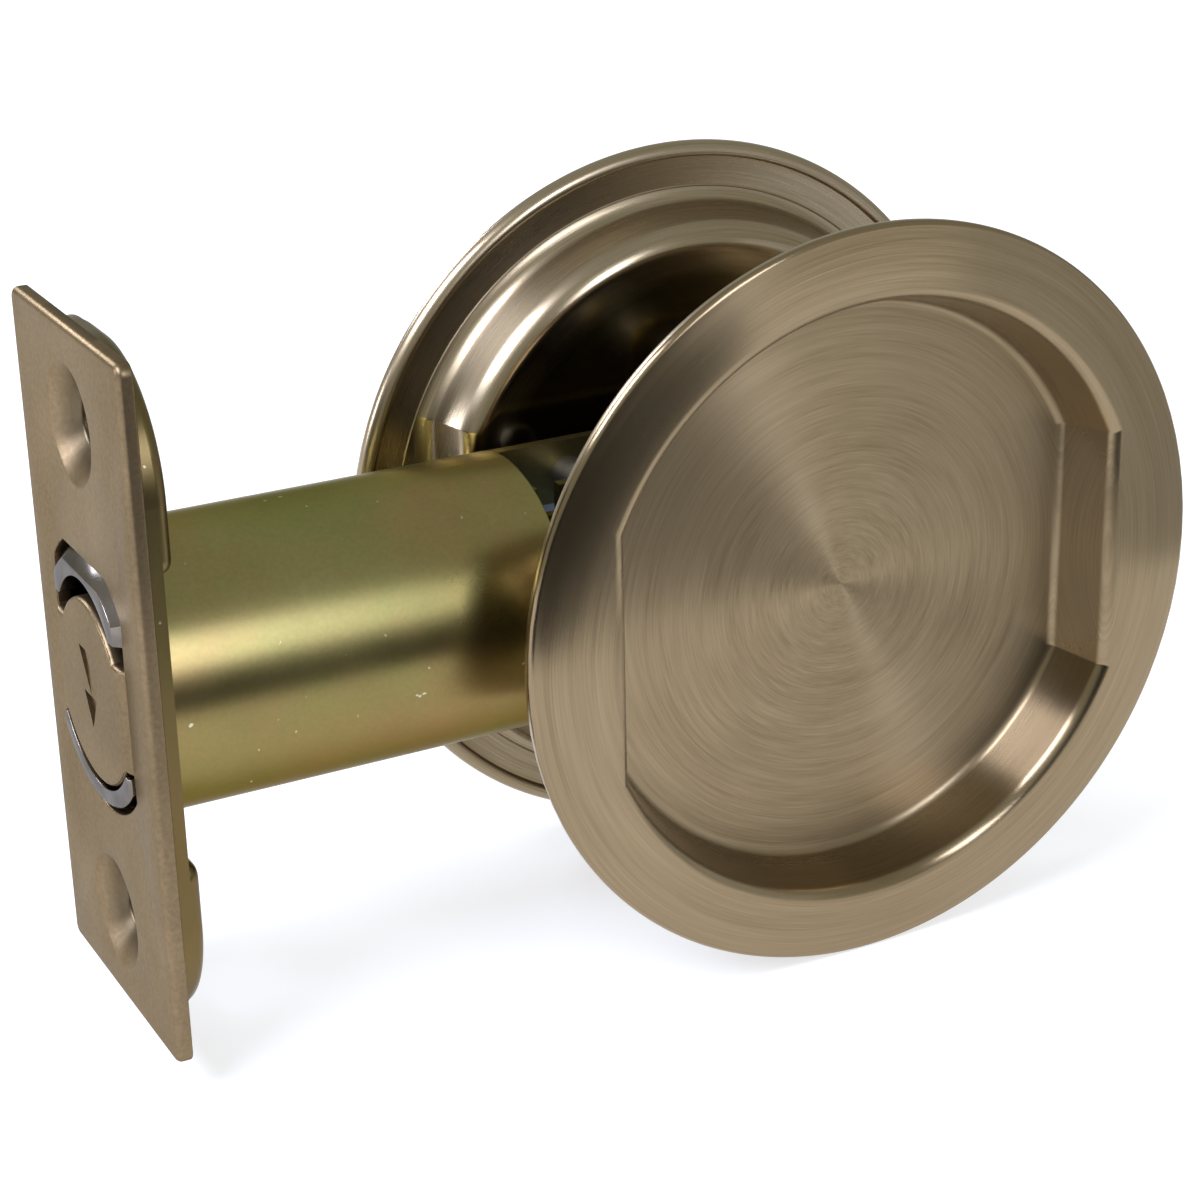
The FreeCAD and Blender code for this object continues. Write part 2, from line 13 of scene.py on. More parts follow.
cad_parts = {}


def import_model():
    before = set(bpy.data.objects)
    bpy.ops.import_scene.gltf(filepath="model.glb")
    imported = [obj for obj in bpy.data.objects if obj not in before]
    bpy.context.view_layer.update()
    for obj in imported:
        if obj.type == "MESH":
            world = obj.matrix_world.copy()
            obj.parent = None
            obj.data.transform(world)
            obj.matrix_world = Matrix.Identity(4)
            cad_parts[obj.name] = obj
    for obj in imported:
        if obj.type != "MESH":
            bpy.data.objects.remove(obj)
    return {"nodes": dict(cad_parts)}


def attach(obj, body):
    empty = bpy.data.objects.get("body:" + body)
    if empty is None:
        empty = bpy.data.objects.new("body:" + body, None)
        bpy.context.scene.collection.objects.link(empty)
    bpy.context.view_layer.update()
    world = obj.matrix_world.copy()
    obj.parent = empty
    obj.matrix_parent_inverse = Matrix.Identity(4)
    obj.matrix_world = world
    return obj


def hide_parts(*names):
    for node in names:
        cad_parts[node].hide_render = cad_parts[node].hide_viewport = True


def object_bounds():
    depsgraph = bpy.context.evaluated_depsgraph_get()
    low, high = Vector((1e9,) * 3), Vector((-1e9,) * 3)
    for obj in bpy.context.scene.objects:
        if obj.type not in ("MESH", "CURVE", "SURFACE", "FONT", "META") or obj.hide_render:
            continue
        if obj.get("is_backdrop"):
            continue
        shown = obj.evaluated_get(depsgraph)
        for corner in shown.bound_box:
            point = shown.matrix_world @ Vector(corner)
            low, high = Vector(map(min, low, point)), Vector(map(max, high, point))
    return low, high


LOG = logging.getLogger("pocket_pull")
MM = 0.001

# In degrees: a drawn edge past CREASE stays sharp, and a copied edge past SHARP is rounded
CREASE = 28.0
SHARP = 24.0

Colour = tuple[float, float, float]


class Metal(Enum):
    """The finishes that a piece can wear."""

    CUP = "cup_satin_nickel"
    CUP_BACK = "cup_plain_nickel"
    PLATE = "plate_satin_nickel"
    ZINC = "yellow_zinc"
    ZINC_SHEET = "yellow_zinc_sheet"
    CHROME = "pull_chrome"
    STEEL = "bright_steel"
    PLASTIC = "grey_moulding"


def linear(red: int, green: int, blue: int) -> Colour:
    """Turn a colour written in 0 to 255 display values into linear light.

    Args:
        red: Display red.
        green: Display green.
        blue: Display blue.

    Returns:
        The linear colour.
    """
    def channel(value: int) -> float:
        """One channel's linear light."""
        share = value / 255
        return share / 12.92 if share <= 0.04045 else ((share + 0.055) / 1.055) ** 2.4
    return channel(red), channel(green), channel(blue)


class NodeSheet:
    """Short ways to place and join shader nodes in one tree."""

    def __init__(self, tree: bpy.types.NodeTree) -> None:
        """Keep the tree that the nodes go into."""
        self.tree = tree

    def add(self, kind: str, **settings: object) -> bpy.types.Node:
        """Place a node and set its properties.

        Args:
            kind: The node's type name.
            **settings: Properties of the node.

        Returns:
            The new node.
        """
        node = self.tree.nodes.new(kind)
        for name, value in settings.items():
            setattr(node, name, value)
        return node

    def join(self, source: bpy.types.NodeSocket, target: bpy.types.NodeSocket) -> None:
        """Join an output to an input."""
        self.tree.links.new(source, target)

    def feed(self, socket: bpy.types.NodeSocket, value: object) -> None:
        """Join a socket to an input, or set the input's own value.

        Args:
            socket: The input.
            value: An output socket, a number, a vector or a colour.
        """
        if isinstance(value, bpy.types.NodeSocket):
            self.join(value, socket)
        elif isinstance(value, tuple) and len(value) == 3 and socket.type == "RGBA":
            socket.default_value = (*value, 1.0)
        else:
            socket.default_value = value

    def math(self, operation: str, *values: object) -> bpy.types.NodeSocket:
        """A Math node on sockets or numbers.

        Args:
            operation: The operation's name.
            *values: Its inputs.

        Returns:
            The result's socket.
        """
        node = self.add("ShaderNodeMath", operation=operation)
        for socket, value in zip(node.inputs, values):
            self.feed(socket, value)
        return node.outputs[0]

    def mix(self, share: object, first: object, second: object) -> bpy.types.NodeSocket:
        """Blend two colours.

        Args:
            share: How much of the second colour shows.
            first: The first colour.
            second: The second colour.

        Returns:
            The blended colour's socket.
        """
        node = self.add("ShaderNodeMix", data_type="RGBA")
        self.feed(node.inputs["Factor"], share)
        self.feed(node.inputs["A"], first)
        self.feed(node.inputs["B"], second)
        return node.outputs["Result"]

    def ramp(self, value: bpy.types.NodeSocket, low: float, high: float,
             to_low: float = 0.0, to_high: float = 1.0) -> bpy.types.NodeSocket:
        """Map a range of values to another, clamped.

        Args:
            value: The input.
            low: The input that gives to_low.
            high: The input that gives to_high.
            to_low: Output at low.
            to_high: Output at high.

        Returns:
            The mapped value's socket.
        """
        node = self.add("ShaderNodeMapRange")
        for name, entry in (("Value", value), ("From Min", low), ("From Max", high),
                            ("To Min", to_low), ("To Max", to_high)):
            self.feed(node.inputs[name], entry)
        return node.outputs["Result"]

    def noise(self, vector: object, scale: object, detail: float = 2.0,
              roughness: float = 0.5) -> bpy.types.NodeSocket:
        """A Noise texture's value.

        Args:
            vector: Where it is read.
            scale: Its scale.
            detail: Its octaves.
            roughness: How strong the fine octaves are.

        Returns:
            The value's socket.
        """
        node = self.add("ShaderNodeTexNoise")
        self.feed(node.inputs["Vector"], vector)
        self.feed(node.inputs["Scale"], scale)
        self.feed(node.inputs["Detail"], detail)
        self.feed(node.inputs["Roughness"], roughness)
        return node.outputs["Fac"]

    def vector(self, x: object, y: object, z: object) -> bpy.types.NodeSocket:
        """Join three values into a vector."""
        node = self.add("ShaderNodeCombineXYZ")
        for socket, value in zip(node.inputs, (x, y, z)):
            self.feed(socket, value)
        return node.outputs[0]

    def parts(self, vector: bpy.types.NodeSocket) -> tuple[bpy.types.NodeSocket, ...]:
        """Split a vector into its three values."""
        node = self.add("ShaderNodeSeparateXYZ")
        self.join(vector, node.inputs[0])
        return tuple(node.outputs)


class SharedGroups:
    """The node groups that several finishes use, each built once."""

    BAND_SCALE = 420.0
    ARC_CONTRAST = (0.32, 0.68)
    FLANGE_EDGE = (24.0 * MM, 25.2 * MM)
    MIDDLE_EDGE = (22.4 * MM, 20.8 * MM)

    def __init__(self) -> None:
        """Build the groups."""
        self.turned = self._turned()
        self.grain = self._grain()
        self.bloom = self._bloom()

    @staticmethod
    def _new(name: str, inputs: dict[str, float], outputs: tuple[str, ...]) -> tuple[
            bpy.types.NodeTree, NodeSheet, bpy.types.Node, bpy.types.Node]:
        """Start a group with its sockets.

        Args:
            name: The group's name.
            inputs: Input names and their usual values.
            outputs: Output names.

        Returns:
            The group, its sheet, and its input and output nodes.
        """
        tree = bpy.data.node_groups.new(name, "ShaderNodeTree")
        for label, usual in inputs.items():
            socket = tree.interface.new_socket(name=label, in_out="INPUT", socket_type="NodeSocketFloat")
            socket.default_value = usual
        for label in outputs:
            tree.interface.new_socket(name=label, in_out="OUTPUT", socket_type="NodeSocketFloat")
        sheet = NodeSheet(tree)
        return tree, sheet, sheet.add("NodeGroupInput"), sheet.add("NodeGroupOutput")

    def _turned(self) -> bpy.types.NodeTree:
        """Short fine arcs about the Y axis, as a turning brush leaves them."""
        tree, sheet, given, out = self._new("turned_arcs", {"Fine": 6500.0, "Coarse": 2200.0},
                                            ("Height", "Shade", "Band", "Flange", "Middle"))
        x, y, z = sheet.parts(sheet.add("ShaderNodeTexCoord").outputs["Object"])
        radius = sheet.math("SQRT", sheet.math("ADD", sheet.math("MULTIPLY", x, x), sheet.math("MULTIPLY", z, z)))
        safe = sheet.math("MAXIMUM", radius, 0.0002)
        turn = (sheet.math("DIVIDE", x, safe), sheet.math("DIVIDE", z, safe))
        reach = sheet.math("ADD", radius, y)
        fine = self._arc_noise(sheet, sheet.math("MULTIPLY", reach, given.outputs["Fine"]), turn, 3.0)
        coarse = self._arc_noise(sheet, sheet.math("MULTIPLY", reach, given.outputs["Coarse"]), turn, 1.6)
        band = self._arc_noise(sheet, sheet.math("MULTIPLY", reach, self.BAND_SCALE), turn, 0.6)
        height = sheet.math("ADD", sheet.math("MULTIPLY", fine, 0.6), sheet.math("MULTIPLY", coarse, 0.4))
        sheet.join(height, out.inputs["Height"])
        sheet.join(sheet.ramp(height, *self.ARC_CONTRAST), out.inputs["Shade"])
        sheet.join(sheet.ramp(band, *self.ARC_CONTRAST), out.inputs["Band"])
        sheet.join(sheet.ramp(radius, *self.FLANGE_EDGE), out.inputs["Flange"])
        # Middle masks the middle of the drum back, where a painted dark reflection goes
        sheet.join(sheet.ramp(radius, *self.MIDDLE_EDGE), out.inputs["Middle"])
        return tree

    @staticmethod
    def _arc_noise(sheet: NodeSheet, reach: bpy.types.NodeSocket,
                   turn: tuple[bpy.types.NodeSocket, bpy.types.NodeSocket],
                   changes: float) -> bpy.types.NodeSocket:
        """Noise that is drawn out round the axis.

        Args:
            sheet: The group's sheet.
            reach: The distance from the axis, scaled.
            turn: The cosine and the sine of the turn about the axis.
            changes: How often the noise changes round the axis.

        Returns:
            The noise's socket.
        """
        place = sheet.vector(reach, *(sheet.math("MULTIPLY", part, changes) for part in turn))
        return sheet.noise(place, 1.0, 2.0, 0.6)

    def _grain(self) -> bpy.types.NodeTree:
        """An even fine-grained plating with broad faint clouds."""
        tree, sheet, given, out = self._new("plating_grain", {"Scale": 2600.0}, ("Height", "Shade"))
        place = sheet.add("ShaderNodeTexCoord").outputs["Object"]
        fine = sheet.noise(place, given.outputs["Scale"], 3.0, 0.6)
        broad = sheet.noise(place, 90.0, 3.0, 0.5)
        sheet.join(fine, out.inputs["Height"])
        shade = sheet.math("ADD", sheet.math("MULTIPLY", fine, 0.5), sheet.math("MULTIPLY", broad, 0.5))
        sheet.join(sheet.ramp(shade, 0.3, 0.7), out.inputs["Shade"])
        return tree

    def _bloom(self) -> bpy.types.NodeTree:
        """Soft uneven clouds and small specks, as a chromate film has."""
        tree, sheet, given, out = self._new("film_bloom", {"Scale": 75.0}, ("Cloud", "Second", "Speck"))
        place = sheet.add("ShaderNodeTexCoord").outputs["Object"]
        moved = sheet.add("ShaderNodeMapping")
        sheet.join(place, moved.inputs["Vector"])
        moved.inputs["Location"].default_value = (0.31, 0.17, 0.53)
        sheet.join(sheet.ramp(sheet.noise(place, given.outputs["Scale"], 4.0, 0.55), 0.35, 0.65), out.inputs["Cloud"])
        second = sheet.noise(moved.outputs["Vector"], given.outputs["Scale"], 3.0, 0.5)
        sheet.join(sheet.ramp(second, 0.38, 0.66), out.inputs["Second"])
        specks = sheet.noise(moved.outputs["Vector"], 1100.0, 1.0, 0.5)
        sheet.join(sheet.ramp(specks, 0.76, 0.8), out.inputs["Speck"])
        return tree


@dataclass(frozen=True)
class Finish:
    """A finish: its colours and how it shines."""

    metal: Metal
    colour: Colour
    second: Colour
    roughness: float
    metallic: float = 1.0
    bump: float = 0.1
    bump_reach: float = 0.02 * MM
    anisotropic: float = 0.0
    anisotropic_turn: float = 0.0
    edge_tint: Colour = (1.0, 1.0, 1.0)
    roughness_spread: float = 0.06

    def start(self) -> tuple[bpy.types.Material, NodeSheet, bpy.types.Node]:
        """Make the material with its constant values set.

        Returns:
            The material, its sheet and its shader.
        """
        material = bpy.data.materials.new(self.metal.value)
        material.use_nodes = True
        sheet = NodeSheet(material.node_tree)
        shader = material.node_tree.nodes["Principled BSDF"]
        shader.inputs["Metallic"].default_value = self.metallic
        shader.inputs["Anisotropic"].default_value = self.anisotropic
        shader.inputs["Anisotropic Rotation"].default_value = self.anisotropic_turn
        shader.inputs["Specular Tint"].default_value = (*self.edge_tint, 1)
        return material, sheet, shader

    def wear(self, sheet: NodeSheet, shader: bpy.types.Node, colour: bpy.types.NodeSocket,
             shade: bpy.types.NodeSocket, height: bpy.types.NodeSocket) -> None:
        """Join the colour, the roughness and the bump.

        Args:
            sheet: The material's sheet.
            shader: Its shader.
            colour: The base colour.
            shade: 0 where the finish is roughest, 1 where it is smoothest.
            height: The bump's height.
        """
        sheet.join(colour, shader.inputs["Base Color"])
        sheet.join(sheet.ramp(shade, 0.0, 1.0, self.roughness + self.roughness_spread, self.roughness),
                   shader.inputs["Roughness"])
        bump = sheet.add("ShaderNodeBump")
        bump.inputs["Strength"].default_value = self.bump
        bump.inputs["Distance"].default_value = self.bump_reach
        sheet.join(height, bump.inputs["Height"])
        sheet.join(bump.outputs["Normal"], shader.inputs["Normal"])


@dataclass(frozen=True)
class TurnedFinish(Finish):
    """Plated metal with a brushed grain that runs round the Y axis."""

    fine: float = 6500.0
    coarse: float = 2200.0
    band: Colour = (0.3, 0.25, 0.16)
    band_share: float = 0.35
    # A painted dark reflection on the middle of the drum back: middle is its colour, and the share below says how
    # much of it shows
    middle: Colour = (0.3, 0.25, 0.16)
    middle_painted_reflection_share: float = 0.0
    flange_drop: float = 0.11

    def make(self, groups: SharedGroups) -> bpy.types.Material:
        """Build the material.

        Args:
            groups: The shared node groups.

        Returns:
            The material.
        """
        material, sheet, shader = self.start()
        arcs = sheet.add("ShaderNodeGroup", node_tree=groups.turned)
        arcs.inputs["Fine"].default_value = self.fine
        arcs.inputs["Coarse"].default_value = self.coarse
        colour = sheet.mix(arcs.outputs["Shade"], self.second, self.colour)
        colour = sheet.mix(sheet.math("MULTIPLY", arcs.outputs["Band"], self.band_share), colour, self.band)
        # Painted reflection: the dark middle colour stands in for the other cup's dark back mirrored in the drum back
        colour = sheet.mix(sheet.math("MULTIPLY", arcs.outputs["Middle"], self.middle_painted_reflection_share), colour, self.middle)
        self.wear(sheet, shader, colour, arcs.outputs["Shade"], arcs.outputs["Height"])
        rough = shader.inputs["Roughness"].links[0].from_socket
        smoother = sheet.math("MULTIPLY", arcs.outputs["Flange"], self.flange_drop)
        sheet.join(sheet.math("SUBTRACT", rough, smoother), shader.inputs["Roughness"])
        tangent = sheet.add("ShaderNodeTangent", direction_type="RADIAL", axis="Y")
        sheet.join(tangent.outputs[0], shader.inputs["Tangent"])
        return material


@dataclass(frozen=True)
class PlatedFinish(Finish):
    """Plated metal or moulding with an even fine grain."""

    scale: float = 2600.0

    def make(self, groups: SharedGroups) -> bpy.types.Material:
        """Build the material.

        Args:
            groups: The shared node groups.

        Returns:
            The material.
        """
        material, sheet, shader = self.start()
        grain = sheet.add("ShaderNodeGroup", node_tree=groups.grain)
        grain.inputs["Scale"].default_value = self.scale
        shade = grain.outputs["Shade"]
        # The plate's painted shade is mixed in here; other finishes pass the colour on as it is
        colour = self.paint_shade(sheet, sheet.mix(shade, self.second, self.colour))
        self.wear(sheet, shader, colour, shade, grain.outputs["Height"])
        return material

    def paint_shade(self, sheet: NodeSheet, colour: bpy.types.NodeSocket) -> bpy.types.NodeSocket:
        """The colour as it is, for finishes with no painted shade."""
        return colour


@dataclass(frozen=True)
class PressedFinish(PlatedFinish):
    """A plate's finish with painted shade down in its countersinks."""

    # Painted shade: a dark colour mixed in below the plate's face, down in the countersinks
    sunk_painted_shade: Colour = (0.1, 0.08, 0.05)
    sunk_painted_shade_share: float = 0.75
    shallow: float = -59.95 * MM
    deep: float = -59.1 * MM
    reach: float = 5.6 * MM

    def paint_shade(self, sheet: NodeSheet, colour: bpy.types.NodeSocket) -> bpy.types.NodeSocket:
        """Paint shade into the colour below the plate's face, near its middle line.

        Args:
            sheet: The material's sheet.
            colour: The colour.

        Returns:
            The stained colour's socket.
        """
        x, y, _ = sheet.parts(sheet.add("ShaderNodeTexCoord").outputs["Object"])
        near = sheet.math("LESS_THAN", sheet.math("ABSOLUTE", y), self.reach)
        share = sheet.math("MULTIPLY", near, sheet.ramp(x, self.shallow, self.deep, 0.0, self.sunk_painted_shade_share))
        return sheet.mix(share, colour, self.sunk_painted_shade)


@dataclass(frozen=True)
class ChromateFinish(Finish):
    """Yellow zinc: a gold film with clouds and small bright specks, with painted light above in a lighter olive and
    painted shade below in a darker brown.
    """

    pink: Colour = (0.5, 0.3, 0.2)
    green: Colour = (0.2, 0.3, 0.1)
    speck: Colour = (0.8, 0.8, 0.7)
    fleck: Colour = (0.12, 0.09, 0.03)
    pink_share: float = 0.6
    green_share: float = 0.45
    fleck_share: float = 0.3
    painted_shade_height: float = -0.006
    painted_light_height: float = 0.008
    scale: float = 75.0

    def make(self, groups: SharedGroups) -> bpy.types.Material:
        """Build the material.

        Args:
            groups: The shared node groups.

        Returns:
            The material.
        """
        material, sheet, shader = self.start()
        bloom = sheet.add("ShaderNodeGroup", node_tree=groups.bloom)
        bloom.inputs["Scale"].default_value = self.scale
        grain = sheet.add("ShaderNodeGroup", node_tree=groups.grain)
        _, _, height = sheet.parts(sheet.add("ShaderNodeTexCoord").outputs["Object"])
        # Painted light and shade: darker brown at the bottom, lighter olive at the top
        colour = sheet.mix(sheet.ramp(height, self.painted_shade_height, self.painted_light_height), self.second, self.colour)
        for source, share, layer in ((bloom.outputs["Second"], self.pink_share, self.pink),
                                     (bloom.outputs["Cloud"], self.green_share, self.green),
                                     (grain.outputs["Shade"], self.fleck_share, self.fleck)):
            colour = sheet.mix(sheet.math("MULTIPLY", source, share), colour, layer)
        colour = sheet.mix(bloom.outputs["Speck"], colour, self.speck)
        self.wear(sheet, shader, colour, bloom.outputs["Cloud"], grain.outputs["Height"])
        return material


class Finishes:
    """Every material of the set."""

    def __init__(self, groups: SharedGroups) -> None:
        """Build the materials.

        Args:
            groups: The shared node groups.
        """
        finishes = (
            TurnedFinish(Metal.CUP, linear(150, 132, 103), linear(128, 111, 84), 0.3, bump=0.3,
                         anisotropic=0.92, anisotropic_turn=0.25, band=linear(158, 141, 112)),
            # The plain back wears a painted dark reflection in the middle of its drum
            TurnedFinish(Metal.CUP_BACK, linear(172, 156, 128), linear(134, 118, 90), 0.12, bump=0.25,
                         anisotropic=0.3, anisotropic_turn=0.25, band=linear(176, 162, 140),
                         flange_drop=-0.13, roughness_spread=0.08,
                         middle=linear(104, 93, 68), middle_painted_reflection_share=1.0),
            # The plate has painted shade in its countersinks
            PressedFinish(Metal.PLATE, linear(141, 122, 94), linear(109, 93, 69), 0.36, bump=0.12,
                          edge_tint=(0.6, 0.57, 0.52), sunk_painted_shade=linear(84, 74, 58)),
            ChromateFinish(Metal.ZINC, linear(162, 149, 99), linear(138, 113, 69), 0.27, bump=0.14,
                           pink=linear(174, 127, 92), green=linear(112, 134, 70), scale=62.0,
                           speck=linear(214, 206, 176), edge_tint=(0.55, 0.5, 0.4)),
            ChromateFinish(Metal.ZINC_SHEET, linear(112, 99, 64), linear(108, 90, 54), 0.3, bump=0.1,
                           pink=linear(122, 100, 68), green=linear(98, 92, 52),
                           speck=linear(200, 188, 150)),
            PlatedFinish(Metal.CHROME, linear(140, 132, 122), linear(84, 79, 73), 0.13,
                         roughness_spread=0.08, bump=0.05, scale=420.0, edge_tint=(0.5, 0.5, 0.51)),
            PlatedFinish(Metal.STEEL, linear(160, 160, 158), linear(140, 141, 143), 0.3),
            PlatedFinish(Metal.PLASTIC, linear(92, 102, 112), linear(80, 88, 98), 0.5, metallic=0.0),
        )
        self.materials = {finish.metal: finish.make(groups) for finish in finishes}

    def dress(self, piece: bpy.types.Object, *metals: Metal) -> None:
        """Give a piece its finishes, one for each material number of its faces.

        Args:
            piece: The piece's object.
            *metals: Its finishes.
        """
        if piece.data.materials:
            piece.data.materials.clear()
        for metal in metals:
            piece.data.materials.append(self.materials[metal])
        LOG.info("%s wears %s", piece.name, ", ".join(metal.value for metal in metals))

    def dress_all(self, nodes: dict[str, bpy.types.Object], wear: dict[str, Metal]) -> None:
        """Give each named node its finish.

        Args:
            nodes: The frame's nodes.
            wear: The finish of each.
        """
        for name, metal in wear.items():
            self.dress(nodes[name], metal)


class Station(NamedTuple):
    """One ring of a cup's section."""

    radius: float
    depth: float
    pressed: bool


@dataclass
class CupSection:
    """The section of a stamped cup, from the middle of its floor out over the flange to its back."""

    stations: list[Station] = field(default_factory=list)

    def to(self, radius: float, depth: float, pressed: bool) -> None:
        """Run straight to a ring."""
        self.stations.append(Station(radius, depth, pressed))

    def bend(self, centre: tuple[float, float], size: float, start: float, end: float, steps: int,
             pressed: bool) -> None:
        """Run round an arc.

        Args:
            centre: The arc's centre, as radius and depth.
            size: Its radius.
            start: The angle it starts at, in degrees from straight outwards towards the back.
            end: The angle it ends at.
            steps: How many straight pieces it has.
            pressed: Whether its rings have flat sides.
        """
        for step in range(steps + 1):
            turn = math.radians(start + (end - start) * step / steps)
            self.to(centre[0] + size * math.cos(turn), centre[1] + size * math.sin(turn), pressed)


@dataclass
class FlushCup:
    """A stamped cup: a turned flange round a drafted well with two flat sides, and its drum behind."""

    name: str
    node: str
    door_face: float
    faces_back: bool = False
    rim_radius: float = 31.8
    rim_edge: float = 1.5
    rim_round: float = 0.45
    rim_back_round: float = 0.9
    crown: float = 1.85
    slope_bulge: float = 0.07
    slope_steps: int = 8
    land_radius: float = 27.2
    recess_radius: float = 25.7
    floor_radius: float = 24.3
    flat_inset: float = 2.3
    floor_depth: float = 3.8
    wall: float = 0.9
    lip_round: float = 1.2
    floor_round: float = 0.8
    shoulder_round: float = 2.3
    dish_inner: float = 27.8
    dish_outer: float = 30.45
    dish_depth: float = 0.5
    cove_round: float = 1.8
    corner_round: float = 0.5
    face_rings: int = 0
    flat_steps: int = 6
    corner_steps: int = 6
    arc_steps: int = 66

    def section(self) -> list[Station]:
        """The cup's section as rings, in millimetres.

        Returns:
            The rings, from the floor of the well out over the flange and back along the drum.
        """
        path = CupSection()
        draft = math.atan2(self.recess_radius - self.floor_radius, self.floor_depth + self.crown)
        lean = math.degrees(draft)
        slope = math.tan(draft)
        root_depth = self.floor_depth - self.floor_round
        root_radius = (self.recess_radius - slope * (root_depth + self.crown)
                       - self.floor_round / math.cos(draft))
        path.to(root_radius - 0.5, self.floor_depth, True)
        path.bend((root_radius, root_depth), self.floor_round, 90, lean, 8, True)
        lip_depth = self.lip_round - self.crown
        lip_radius = (self.recess_radius - slope * self.lip_round + self.lip_round / math.cos(draft))
        path.bend((lip_radius, lip_depth), self.lip_round, 180 + lean, 270, 12, True)
        path.to(self.land_radius, -self.crown, False)
        bend = self.rim_radius - self.rim_round
        for step in range(1, self.slope_steps + 1):
            share = step / self.slope_steps
            bulge = 4 * share * (1 - share) * self.slope_bulge
            path.to(self.land_radius + (bend - self.land_radius) * share,
                    -self.crown + (self.crown - self.rim_edge) * share - bulge, False)
        path.bend((bend, self.rim_round - self.rim_edge), self.rim_round, -84, 0, 8, False)
        self.face_rings = len(path.stations) - 1
        back_bend = self.rim_radius - self.rim_back_round
        path.bend((back_bend, -self.rim_back_round), self.rim_back_round, 0, 90, 8, False)
        for radius, depth in self.dish():
            path.to(radius, depth, False)
        drum_slope = (self.recess_radius - self.floor_radius) / (self.floor_depth + self.wall + self.crown / 2)
        drum_draft = math.atan(drum_slope)
        drum_mouth = self.recess_radius + self.wall - drum_slope * self.crown / 2
        cove = self.cove_round
        path.bend((drum_mouth + cove, cove - self.dish_depth), cove, 270,
                  180 + math.degrees(drum_draft), 10, True)
        back = self.floor_depth + self.wall
        centre_depth = back - self.shoulder_round
        centre_radius = drum_mouth - drum_slope * centre_depth - self.shoulder_round / math.cos(drum_draft)
        path.bend((centre_radius, centre_depth), self.shoulder_round, math.degrees(drum_draft), 90, 12, True)
        path.to(centre_radius - 0.5, back, True)
        return path.stations

    def dish(self) -> tuple[tuple[float, float], ...]:
        """The shallow dish in the flange's back, with a crisp outer edge and a low ridge inside it.

        Returns:
            Radius and depth of each of its rings.
        """
        outer, inner, bottom = self.dish_outer, self.dish_inner, -self.dish_depth
        return ((outer + 0.3, -0.02), (outer + 0.2, -0.08), (outer, bottom), (outer - 0.15, bottom - 0.03),
                (inner + 0.16, bottom + 0.02), (inner + 0.05, bottom + 0.11), (inner - 0.06, bottom + 0.02))

    def ring(self, station: Station) -> list[tuple[float, float]]:
        """The points of one ring, with the same order in every ring.

        Args:
            station: The ring.

        Returns:
            X and Z of each point, in millimetres.
        """
        radius = station.radius if station.pressed else self.recess_radius
        flat = radius - self.flat_inset
        reach = self.corner_round
        corner = math.sqrt((radius - reach) ** 2 - (flat - reach) ** 2)
        turn = math.atan2(corner, flat - reach)
        quarter = [(flat, corner * step / self.flat_steps) for step in range(self.flat_steps)]
        for step in range(self.corner_steps):
            angle = turn * step / self.corner_steps
            quarter.append((flat - reach + reach * math.cos(angle), corner + reach * math.sin(angle)))
        for step in range(self.arc_steps):
            angle = turn + (math.pi / 2 - turn) * step / self.arc_steps
            quarter.append((radius * math.cos(angle), radius * math.sin(angle)))
        half = quarter + [(0.0, radius)] + [(-x, z) for x, z in reversed(quarter[1:])]
        points = half + [(-x, -z) for x, z in half]
        if station.pressed:
            return points
        return [(x * station.radius / math.hypot(x, z), z * station.radius / math.hypot(x, z)) for x, z in points]

    def build(self) -> bpy.types.Object:
        """Draw the cup out ring by ring from the floor of its well.

        Returns:
            The cup's object.
        """
        stations = self.section()
        count = len(self.ring(stations[0]))
        shape = bmesh.new()
        order = shape.verts.layers.int.new("order")
        loop = bmesh.ops.create_circle(shape, segments=count, radius=1, cap_ends=True)["verts"]
        for index, vert in enumerate(loop):
            vert[order] = index
        edges = list(shape.edges)
        for number, station in enumerate(stations):
            if number:
                drawn = bmesh.ops.extrude_edge_only(shape, edges=edges)["geom"]
                loop = [item for item in drawn if isinstance(item, bmesh.types.BMVert)]
                edges = [item for item in drawn if isinstance(item, bmesh.types.BMEdge)]
                for item in drawn:
                    if isinstance(item, bmesh.types.BMFace):
                        item.material_index = int(number > self.face_rings)
            points = self.ring(station)
            for vert in loop:
                x, z = points[vert[order]]
                vert.co = (x * MM, station.depth * MM, z * MM)
        for face in bmesh.ops.contextual_create(shape, geom=edges)["faces"]:
            face.material_index = 1
        if self.faces_back:
            bmesh.ops.rotate(shape, verts=shape.verts, cent=(0, 0, 0), matrix=Matrix.Rotation(math.pi, 3, "Z"))
        bmesh.ops.translate(shape, verts=shape.verts, vec=(0, self.door_face * MM, 0))
        bmesh.ops.recalc_face_normals(shape, faces=shape.faces)
        return finish_mesh(self.name, shape)

    def fit(self, finishes: Finishes) -> bpy.types.Object:
        """Build the cup, dress it and set it in its node's place.

        Args:
            finishes: The set's materials.

        Returns:
            The cup's object.
        """
        cup = self.build()
        finishes.dress(cup, Metal.CUP, Metal.CUP_BACK)
        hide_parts(self.node)
        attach(cup, "housing")
        return cup


def finish_mesh(name: str, shape: bmesh.types.BMesh) -> bpy.types.Object:
    """Turn a bmesh into a smooth object with sharp creases.

    Args:
        name: The object's name.
        shape: The bmesh, which is freed.

    Returns:
        The object.
    """
    for face in shape.faces:
        face.smooth = True
    mesh = bpy.data.meshes.new(name)
    shape.to_mesh(mesh)
    shape.free()
    mesh.set_sharp_from_angle(angle=math.radians(CREASE))
    piece = bpy.data.objects.new(name, mesh)
    bpy.context.collection.objects.link(piece)
    return piece


